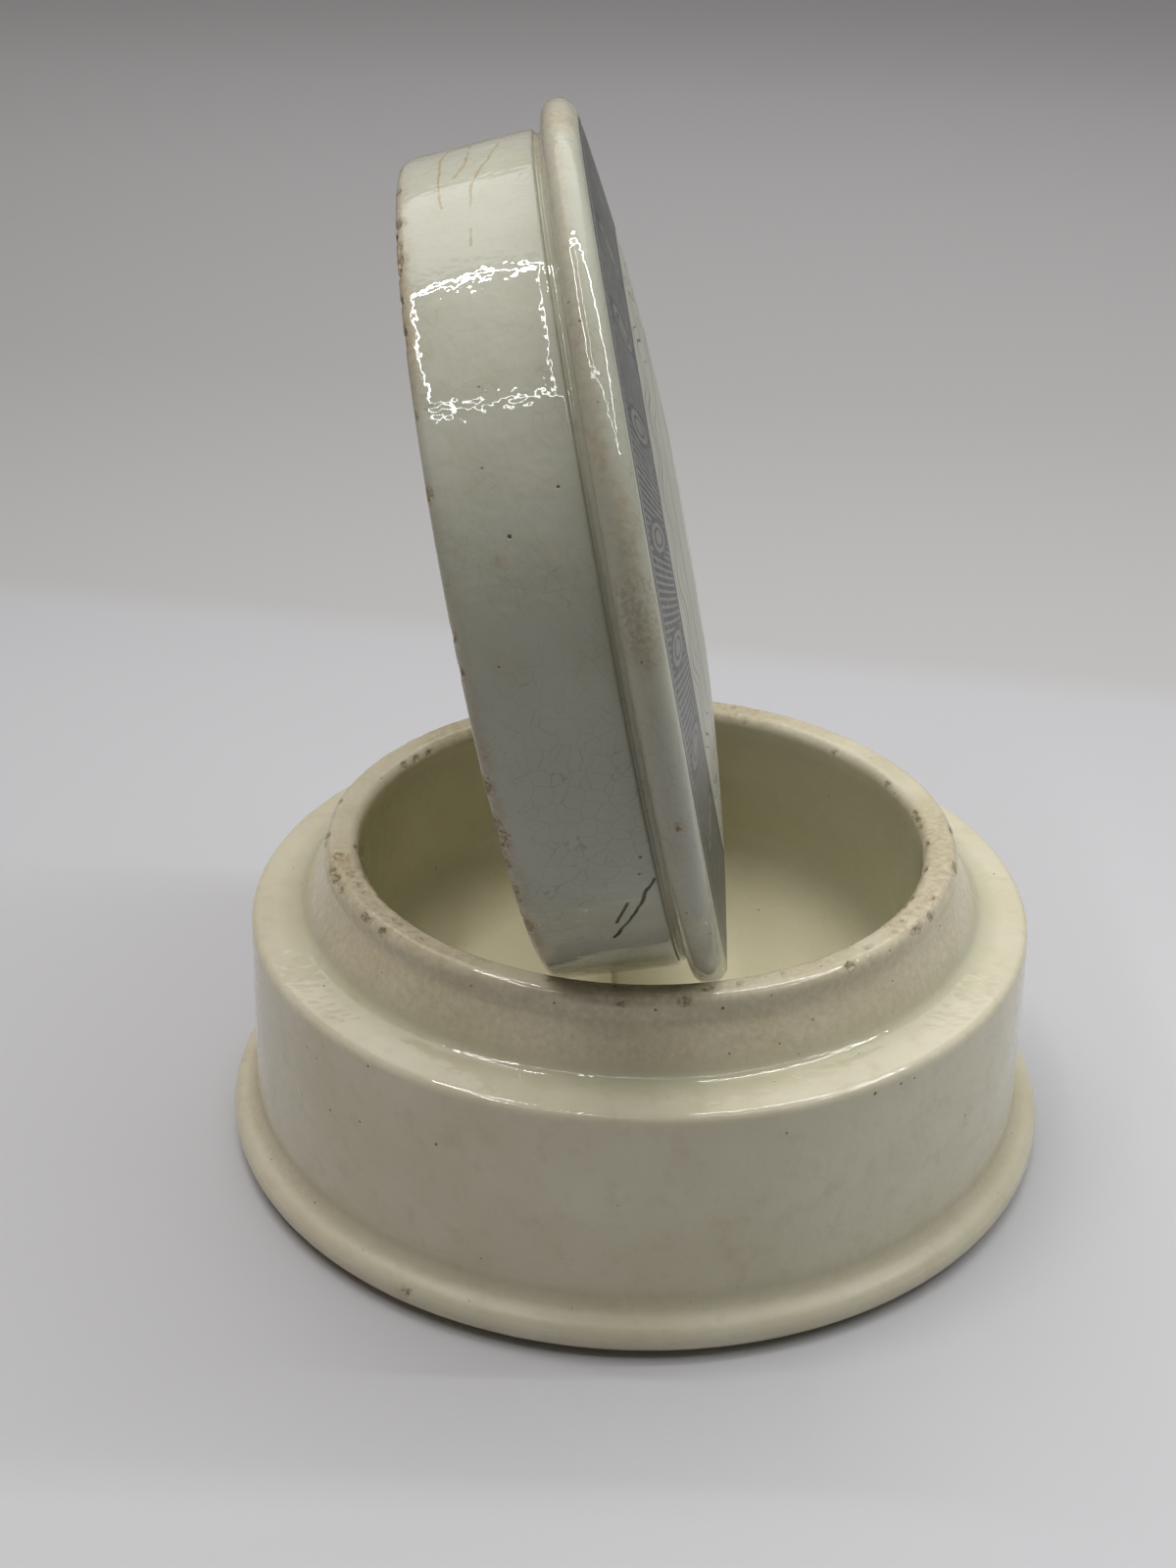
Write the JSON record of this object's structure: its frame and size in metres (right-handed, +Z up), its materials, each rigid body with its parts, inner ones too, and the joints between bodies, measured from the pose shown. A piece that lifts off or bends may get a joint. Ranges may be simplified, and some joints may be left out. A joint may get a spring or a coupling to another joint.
{
  "type": "cold cream pot",
  "caption": "Squat round earthenware pot with a collar and foot bead, its deep domed lid standing on edge across the mouth.",
  "frame": {"origin": "centre of the pot's foot ring, on the surface that it stands on", "axes": "+Z up along the pot's axis, +X towards the domed face of the leaning lid, -Y towards the viewer"},
  "size_m": [0.0816, 0.0816, 0.099],
  "materials": {
    "cream_glaze": "gloss",
    "grey_cream_glaze": "gloss"
  },
  "bodies": {
    "pot": {"pot": "cream_glaze"},
    "lid": {"lid": "grey_cream_glaze"}
  },
  "joints": [
    {"name": "lid_lift", "type": "slide", "parent": "pot", "child": "lid", "axis": [0, 0, 1], "range_m": [0, 0.06]}
  ]
}
